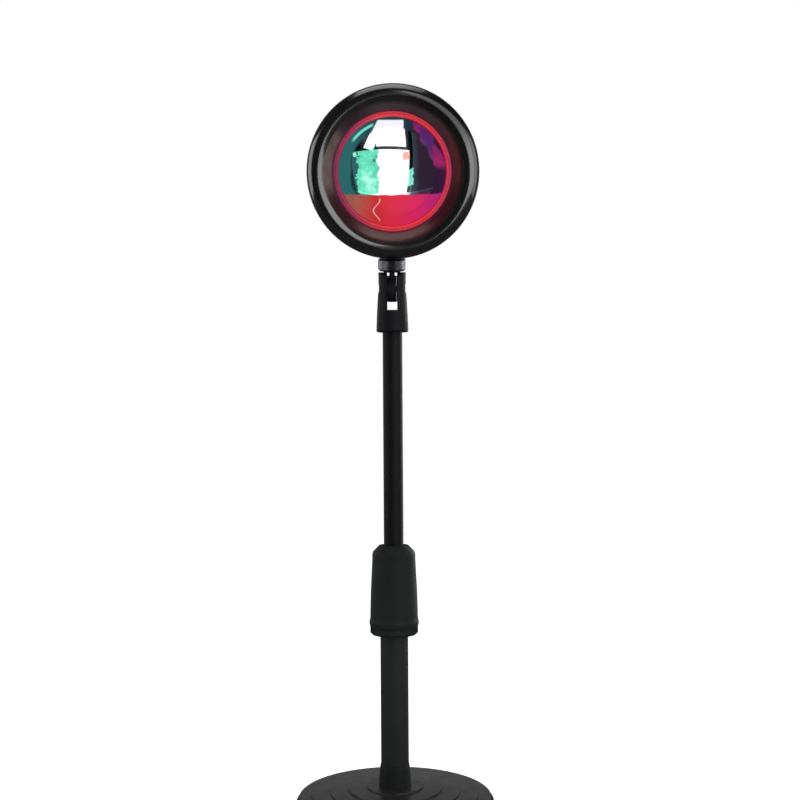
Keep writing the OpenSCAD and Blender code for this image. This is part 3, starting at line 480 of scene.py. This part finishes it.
def lens_glass():
    """Mirroring dome whose tints are painted by place, as painted reflections of the room over what it
    really
    mirrors: teal at the left, navy and magenta at the right, pink below, a painted reflection of the table,
    and nearly white in the middle. The ring hides the cards from its rim, so what the rim would mirror is
    painted there as light of its own. Places are millimetres from the lens's centre."""
    m = Mat("lens_glass")
    local = m.head_place()
    u, v, _ = m.split(local)
    fine = m.noise(0.2, 3.0, 0.6, at=local)
    coarse = m.noise(0.11, 4.0, 0.6, at=local)
    broad = m.noise(0.06, 2.0, at=local)
    radius = m.away(u, v)
    across = m.math("ADD", m.math("MULTIPLY", m.wobble(u, broad, 2.0), 0.5 / LENS_REACH), 0.5)
    # painted reflections of the room's sides, teal at the left and navy to purple at the right, round a
    # white middle that tints the cards' real reflections
    side = m.ramp(
        across,
        (0.0, srgb(84, 158, 158)), (0.12, srgb(84, 170, 168)), (0.155, srgb(38, 84, 88)),
        (0.22, srgb(30, 70, 76)), (0.27, srgb(236, 246, 246)), (0.625, srgb(250, 250, 252)),
        (0.65, srgb(82, 116, 126)), (0.72, srgb(70, 50, 76)), (1.0, srgb(60, 34, 70)),
    )
    # painted reflections: the mint patch left of the middle, with a ragged edge, and a smaller one right of
    # it
    mint_left = m.rise(m.wobble(m.wobble(u, coarse, 9.0), fine, 3.0), -24.6, 0.4)
    mint_u = m.math("MULTIPLY", mint_left, m.within(m.wobble(u, fine, 3.0), -10.0, 0.4))
    mint_v = m.band(m.wobble(v, fine, 6.0), -17.0, 15.5, 0.6)
    mint = m.ramp(coarse, (0.33, srgb(44, 84, 84)), (0.37, srgb(76, 176, 148)), (0.52, srgb(92, 204, 168)),
                  (0.7, srgb(176, 236, 220)))
    side = m.mix(m.math("MULTIPLY", mint_u, mint_v), side, mint)
    painted_blush_reflection = m.math("MULTIPLY", m.band(m.wobble(u, fine, 3.0), 7.2, 12.0, 0.4),
                   m.band(m.wobble(v, coarse, 4.0), 7.6, 12.8, 0.6))
    side = m.mix(painted_blush_reflection, side, srgb(246, 160, 146))
    # the pink floor, a painted reflection of the table below its edge, with a thin pale curling line in it
    floor = m.ramp(
        across,
        (0.0, srgb(140, 100, 88)), (0.2, srgb(190, 104, 90)), (0.34, srgb(228, 54, 56)),
        (0.5, srgb(244, 52, 82)), (0.7, srgb(244, 44, 112)), (1.0, srgb(170, 50, 146)),
    )
    painted_curl_reflection = m.math("ADD", u, m.math("MULTIPLY", m.math("SINE", m.math("MULTIPLY", v, 0.42)), 2.2))
    painted_curl_reflection = m.math("MULTIPLY", m.band(painted_curl_reflection, -11.6, -10.8, 0.3), m.band(v, -33.0, -18.0, 1.0))
    floor = m.mix(m.math("MULTIPLY", painted_curl_reflection, 0.8), floor, srgb(255, 224, 224))
    below = m.within(m.wobble(v, fine, 1.6), -TABLE_EDGE, 0.6)
    film = m.mix(below, side, floor)
    # the rim, whose painted reflections stand as light of its own where the ring hides the cards
    rim = m.ramp(
        across,
        (0.0, srgb(44, 104, 106)), (0.16, srgb(40, 100, 102)), (0.3, srgb(34, 74, 80)),
        (0.62, srgb(32, 58, 72)), (0.7, srgb(38, 28, 46)), (1.0, srgb(58, 26, 60)),
    )
    # a painted reflection of a white softbox at the top of the rim, shown as light
    white = m.math("MULTIPLY", m.band(m.along(u, v, 1.0, -0.547), -28.6, -8.6, 0.7), m.rise(v, 20.0, 1.0))
    white = m.math("MULTIPLY", white, m.within(u, 7.7, 0.5))
    rim = m.mix(m.math("MULTIPLY", white, m.within(v, 34.6, 0.5)), rim, srgb(246, 244, 250))
    # a painted reflection: a mint arc at the upper left of the rim
    painted_arc_reflection = m.math("MULTIPLY", m.band(radius, 33.2, 34.9, 0.5), m.rise(v, 20.0, 3.0))
    painted_arc_reflection = m.math("MULTIPLY", painted_arc_reflection, m.band(m.wobble(u, fine, 1.0), -27.0, -13.0, 1.5))
    rim = m.mix(painted_arc_reflection, rim, srgb(120, 222, 208))
    rim = m.mix(below, rim, m.mix(1.0, floor, (0.72, 0.72, 0.72, 1), "MULTIPLY"))
    # painted reflections: a magenta streak at the upper right and a mint fleck, both painted as light of
    # their own
    streak = m.math("MULTIPLY", m.band(m.wobble(m.along(u, v, 0.888, 0.457), coarse, 5.0), 27.5, 35.0, 1.2),
                    m.band(v, 3.0, 33.0, 3.0))
    rim = m.mix(streak, rim, m.ramp(broad, (0.42, srgb(88, 38, 104)), (0.56, srgb(156, 38, 96))))
    fleck = m.math("MULTIPLY", m.band(m.wobble(u, fine, 3.0), 9.6, 13.4, 0.4),
                   m.band(m.wobble(v, fine, 4.0), -9.6, 1.6, 0.6))
    rim = m.mix(fleck, rim, srgb(128, 214, 190))
    # beyond RIM_FROM the colour goes nearly black and the rim's painted reflections glow in its place
    outside = m.rise(radius, RIM_FROM, 0.9)
    m.colour(m.mix(outside, film, srgb(10, 10, 12)))
    m.link(rim, m.bsdf.inputs["Emission Color"])
    # the painted reflections of the streak and the fleck glow at their own strengths
    marks = m.math("MAXIMUM", m.math("MULTIPLY", streak, 0.8), fleck)
    glow = m.math("MAXIMUM", outside, marks)
    m.link(glow, m.bsdf.inputs["Emission Strength"])
    m.rough(m.spread(m.noise(60.0), 0.0, 0.01))
    m.set(Metallic=0.8, Transmission_Weight=1.0, IOR=1.52)
    return m.mat


def film_dichroic():
    """The colour filter behind the lens: deep teal at the left to navy at the right, coated glass's tints
    laid out by place as a painted reflection of the room.
    """
    m = Mat("film_dichroic")
    u, v, _ = m.split(m.head_place())
    m.colour(m.ramp(
        m.math("ADD", m.math("MULTIPLY", u, 1 / FILM_ACROSS), 0.5),
        (0.0, srgb(30, 96, 98)), (0.35, srgb(34, 90, 92)), (0.6, srgb(20, 44, 62)), (1.0, srgb(44, 20, 66)),
    ))
    m.rough(m.spread(m.noise(60.0), 0.12, 0.2))
    m.set(Metallic=0.5)
    return m.mat


def led_phosphor():
    m = Mat("chip_yellow")
    m.colour(m.ramp(m.noise(500.0), (0.3, srgb(226, 196, 96)), (0.7, srgb(240, 216, 120))))
    m.rough(m.spread(m.noise(300.0), 0.35, 0.5))
    m.bump(m.voronoi(900.0), 0.05 * MM, 0.4, 0.1 * MM)
    return m.mat


# The finish of each material slot, and of the few nodes that have one of their own
FINISH = {
    "rubber_black": rubber,
    "base_plastic": base_plastic,
    "tray_plastic": tray_plastic,
    "cast_iron": cast_iron,
    "tube_black": lambda: powder_coat("tube_black", srgb(34, 36, 35)),
    "mast_black": lambda: powder_coat("mast_black", srgb(15, 15, 15), 0.16),
    "clutch_black": lambda: moulded(
        "clutch_black", srgb(27, 29, 29), 0.55, grain=1700.0, depth=0.05 * MM, specular=0.12).mat,
    "white_nylon": nylon,
    "washer_black": lambda: moulded("washer_black", srgb(18, 17, 20), 0.6, specular=0.1).mat,
    "fork_black": lambda: moulded(
        "fork_black", srgb(22, 20, 24), 0.5, grain=1500.0, depth=0.03 * MM, specular=0.12).mat,
    "zinc_steel": lambda: metal("zinc_steel", srgb(178, 180, 184), 0.3).mat,
    "lock_grey": lambda: metal(
        "lock_grey", srgb(140, 140, 148), 0.26, scale=1400.0, depth=0.01 * MM, edge=0.05 * MM).mat,
    "shell_black": lambda: moulded("shell_black", srgb(24, 24, 25), 0.36, specular=0.45).mat,
    "bezel_black": bezel_gloss,
    "baffle_matte": baffle_matte,
    "ring_red": ring_red,
    "lens_glass": lens_glass,
    "film_dichroic": film_dichroic,
    "brass_insert": lambda: metal("brass_insert", srgb(200, 164, 92), 0.28).mat,
    "sink_aluminium": lambda: metal("sink_aluminium", srgb(188, 190, 192), 0.34, (1, 8, 1)).mat,
    "reflector_bright": lambda: metal(
        "reflector_bright", (0.86, 0.86, 0.88, 1), 0.12, scale=300.0, depth=0.004 * MM).mat,
    "board_white": lambda: board("board_white", srgb(226, 226, 220), srgb(205, 205, 198)),
    "board_green": lambda: board("board_green", srgb(24, 92, 54), srgb(44, 124, 78)),
    "parts_dark": lambda: moulded("parts_dark", srgb(52, 52, 58), 0.42).mat,
    "chip_yellow": led_phosphor,
    "thermal_grey": lambda: moulded("thermal_grey", srgb(150, 160, 172), 0.7, grain=900.0).mat,
    "lead_red": lambda: moulded("lead_red", srgb(170, 40, 40), 0.45).mat,
}
OWN_FINISH = {"base_tray": "tray_plastic", "upper_tube": "mast_black", "hinge_washers": "washer_black"}
_made = {}


def finish(name):
    """The finish of that name, made at its first use."""
    if name not in _made:
        _made[name] = FINISH[name]()
    return _made[name]


def dress(obj, name):
    """Give a mesh that finish in place of what it has."""
    obj.data.materials.clear()
    obj.data.materials.append(finish(name))


def dress_cad_nodes():
    slots = {s["node"]: s["material_slot"] for s in frame["record"]["subparts"]}
    for node, obj in NODES.items():
        dress(obj, OWN_FINISH.get(node, slots[node]))


# ---------------------------------------------------------------- pieces


def new_piece(name, bm, slot, body, matrix=None):
    """A mesh object from bmesh, in its slot's finish, that rides on a CAD body."""
    if matrix is not None:
        bm.transform(matrix)
    bmesh.ops.recalc_face_normals(bm, faces=bm.faces)
    mesh = bpy.data.meshes.new(name)
    bm.to_mesh(mesh)
    bm.free()
    piece = bpy.data.objects.new(name, mesh)
    bpy.context.scene.collection.objects.link(piece)
    dress(piece, slot)
    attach(piece, body)
    return piece


def revolve(bm, rows, around, radius_at):
    """A closed ring from rows of (radius, height), each point of which radius_at may cut inwards."""
    grid = []
    for radius, height in rows:
        line = []
        for i in range(around):
            turn = 2 * math.pi * i / around
            r = radius_at(radius, height, turn)
            line.append(bm.verts.new((r * math.cos(turn), r * math.sin(turn), height)))
        grid.append(line)
    for low, high in zip(grid, grid[1:] + grid[:1]):
        for i in range(around):
            j = (i + 1) % around
            bm.faces.new((low[i], low[j], high[j], high[i]))


def knurled_ring():
    """The lock ring with its diamond knurl between two plain bevels."""
    low, high = LOCK_FOOT, LOCK_FOOT + LOCK_H
    band_low, band_high = low + LOCK_BEVEL, high - LOCK_BEVEL
    rows = [(LOCK_BORE, low), (LOCK_R - LOCK_BEVEL, low)]
    rows += [(LOCK_R, band_low + (band_high - band_low) * i / KNURL_ROWS) for i in range(KNURL_ROWS + 1)]
    rows += [(LOCK_R - LOCK_BEVEL, high), (LOCK_BORE, high)]
    pitch = 2 * math.pi * LOCK_R / KNURL_TEETH

    def tooth(x):
        return abs(2 * (x - math.floor(x)) - 1)

    def radius_at(radius, height, turn):
        if radius < LOCK_R:
            return radius
        teeth = turn * KNURL_TEETH / (2 * math.pi)
        cut = min(tooth(teeth + height / pitch), tooth(teeth - height / pitch))
        return radius - KNURL_DEPTH * (1 - cut)

    bm = bmesh.new()
    revolve(bm, rows, KNURL_TEETH * KNURL_TOOTH_STEPS, radius_at)
    piece = new_piece("knurled_lock_ring", bm, "lock_grey", "lock", TILT)
    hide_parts("lock_ring")
    for face in piece.data.polygons:
        face.use_smooth = False
    return piece


# ---------------------------------------------------------------- stage


def white_sweep():
    """A pale table top that shows white and keeps the soft shadow under the base."""
    mesh = bpy.data.meshes.new("floor")
    (x0, x1), (y0, y1) = TABLE_X, TABLE_Y
    mesh.from_pydata([(x0, y0, 0), (x1, y0, 0), (x1, y1, 0), (x0, y1, 0)], [], [(0, 1, 2, 3)])
    floor = bpy.data.objects.new("floor", mesh)
    bpy.context.scene.collection.objects.link(floor)
    mat = bpy.data.materials.new("floor_white")
    mat.use_nodes = True
    tree = mat.node_tree
    tree.nodes.clear()
    out = tree.nodes.new("ShaderNodeOutputMaterial")
    diffuse = tree.nodes.new("ShaderNodeBsdfDiffuse")
    # mirrors don't see the white table, but a dim one
    tone = tree.nodes.new("ShaderNodeMix")
    tone.data_type = "RGBA"
    tone.inputs[6].default_value = TABLE_TONE
    tone.inputs[7].default_value = TABLE_TONE_MIRRORED
    tree.links.new(tone.outputs[2], diffuse.inputs["Color"])
    glow = tree.nodes.new("ShaderNodeEmission")
    path = tree.nodes.new("ShaderNodeLightPath")
    tree.links.new(path.outputs["Is Glossy Ray"], tone.inputs[0])
    strength = tree.nodes.new("ShaderNodeMath")
    strength.operation = "MULTIPLY"
    strength.inputs[1].default_value = TABLE_GLOW
    add = tree.nodes.new("ShaderNodeAddShader")
    tree.links.new(path.outputs["Is Camera Ray"], strength.inputs[0])
    tree.links.new(strength.outputs[0], glow.inputs["Strength"])
    tree.links.new(diffuse.outputs[0], add.inputs[0])
    tree.links.new(glow.outputs[0], add.inputs[1])
    tree.links.new(add.outputs[0], out.inputs["Surface"])
    floor.data.materials.append(mat)


def world():
    """White behind everything that the camera sees, a grey level as light, and a dim room in mirrors."""
    w = bpy.data.worlds.new("studio")
    bpy.context.scene.world = w
    w.use_nodes = True
    tree = w.node_tree
    tree.nodes.clear()
    out = tree.nodes.new("ShaderNodeOutputWorld")
    seen = tree.nodes.new("ShaderNodeBackground")
    seen.inputs["Color"].default_value = WHITE
    seen.inputs["Strength"].default_value = ROOM_SEEN
    light = tree.nodes.new("ShaderNodeBackground")
    light.inputs["Color"].default_value = WHITE
    light.inputs["Strength"].default_value = ROOM_LIGHT
    path = tree.nodes.new("ShaderNodeLightPath")
    # mirrors don't see that white: they see grey behind the lamp and nearly black in front of it
    coord = tree.nodes.new("ShaderNodeTexCoord")
    axes = tree.nodes.new("ShaderNodeSeparateXYZ")
    tree.links.new(coord.outputs["Generated"], axes.inputs[0])
    ramp = tree.nodes.new("ShaderNodeMapRange")
    ramp.interpolation_type = "SMOOTHSTEP"
    for name, value in zip(("From Min", "From Max", "To Min", "To Max"), ROOM_MIRRORED_Y + ROOM_MIRRORED):
        ramp.inputs[name].default_value = value
    tree.links.new(axes.outputs["Y"], ramp.inputs["Value"])
    mirrored = tree.nodes.new("ShaderNodeBackground")
    mirrored.inputs["Color"].default_value = WHITE
    tree.links.new(ramp.outputs[0], mirrored.inputs["Strength"])
    add = tree.nodes.new("ShaderNodeMath")
    add.operation = "ADD"
    add.use_clamp = True
    tree.links.new(path.outputs["Is Glossy Ray"], add.inputs[0])
    tree.links.new(path.outputs["Is Transmission Ray"], add.inputs[1])
    first = tree.nodes.new("ShaderNodeMixShader")
    tree.links.new(add.outputs[0], first.inputs[0])
    tree.links.new(light.outputs[0], first.inputs[1])
    tree.links.new(mirrored.outputs[0], first.inputs[2])
    last = tree.nodes.new("ShaderNodeMixShader")
    tree.links.new(path.outputs["Is Camera Ray"], last.inputs[0])
    tree.links.new(first.outputs[0], last.inputs[1])
    tree.links.new(seen.outputs[0], last.inputs[2])
    tree.links.new(last.outputs[0], out.inputs["Surface"])


def area_light(name, at, aim, width, height, radiance, turn=0.0):
    """A soft panel of that radiance, which faces the point it is aimed at."""
    data = bpy.data.lights.new(name, "AREA")
    data.shape = "RECTANGLE"
    data.size = width
    data.size_y = height
    data.energy = radiance * math.pi * data.size * data.size_y
    obj = bpy.data.objects.new(name, data)
    bpy.context.scene.collection.objects.link(obj)
    obj.location = at
    facing = (Vector(aim) - Vector(at)).to_track_quat("-Z", "Y")
    obj.rotation_euler = (facing @ Quaternion((0, 0, 1), turn)).to_euler()
    return obj


def link(light, pieces, state):
    """Keep a light to those pieces, or keep it off them."""
    group = bpy.data.collections.new(light.name + "_pieces")
    for piece in pieces:
        group.objects.link(piece)
    light.light_linking.receiver_collection = group
    for entry in group.collection_objects:
        entry.light_linking.link_state = state


def lamps(ring):
    """Panels, most of which leave the lens out, strips for the posts, a panel for the base's cover, and
    cards for the lens alone."""
    lens = NODES["lens"]
    for name, panel in PANELS.items():
        lamp = area_light(name, *panel)
        if name == "panel_front":
            lamp.visible_glossy = False
        else:
            link(lamp, [lens, ring] if name == "panel_right" else [lens], "EXCLUDE")
    for name, strip in STRIPS.items():
        lamp = area_light(name, *strip)
        link(lamp, [NODES[n] for n in POSTS] + [ring], "INCLUDE")
        lamp.visible_camera = False
    back = area_light("panel_back", *BACK_PANEL)
    link(back, [NODES["base_cover"]], "INCLUDE")
    back.visible_camera = False
    for name, ((x0, x1), (z0, z1), radiance, turn) in CARDS.items():
        at = ((x0 + x1) / 2, CARD_Y, (z0 + z1) / 2)
        card = area_light(name, at, (at[0], 0, at[2]), x1 - x0, z1 - z0, radiance, math.radians(turn))
        link(card, [lens], "INCLUDE")
        card.visible_camera = False
    card = area_light("card_floor", *CARD_FLOOR)
    link(card, [lens], "INCLUDE")
    card.visible_camera = False


def camera():
    data = bpy.data.cameras.new("camera")
    data.sensor_width = SENSOR
    data.lens = CAMERA_FOCAL_PX / IMAGE_PX * SENSOR
    data.clip_start = CAMERA_CLIP
    obj = bpy.data.objects.new("camera", data)
    bpy.context.scene.collection.objects.link(obj)
    obj.location = CAMERA_AT
    obj.rotation_euler = Euler((math.radians(90), CAMERA_ROLL, 0))
    bpy.context.scene.camera = obj


dress_cad_nodes()
ring = knurled_ring()
white_sweep()
world()
lamps(ring)
camera()
bpy.context.scene.view_settings.view_transform = "Standard"
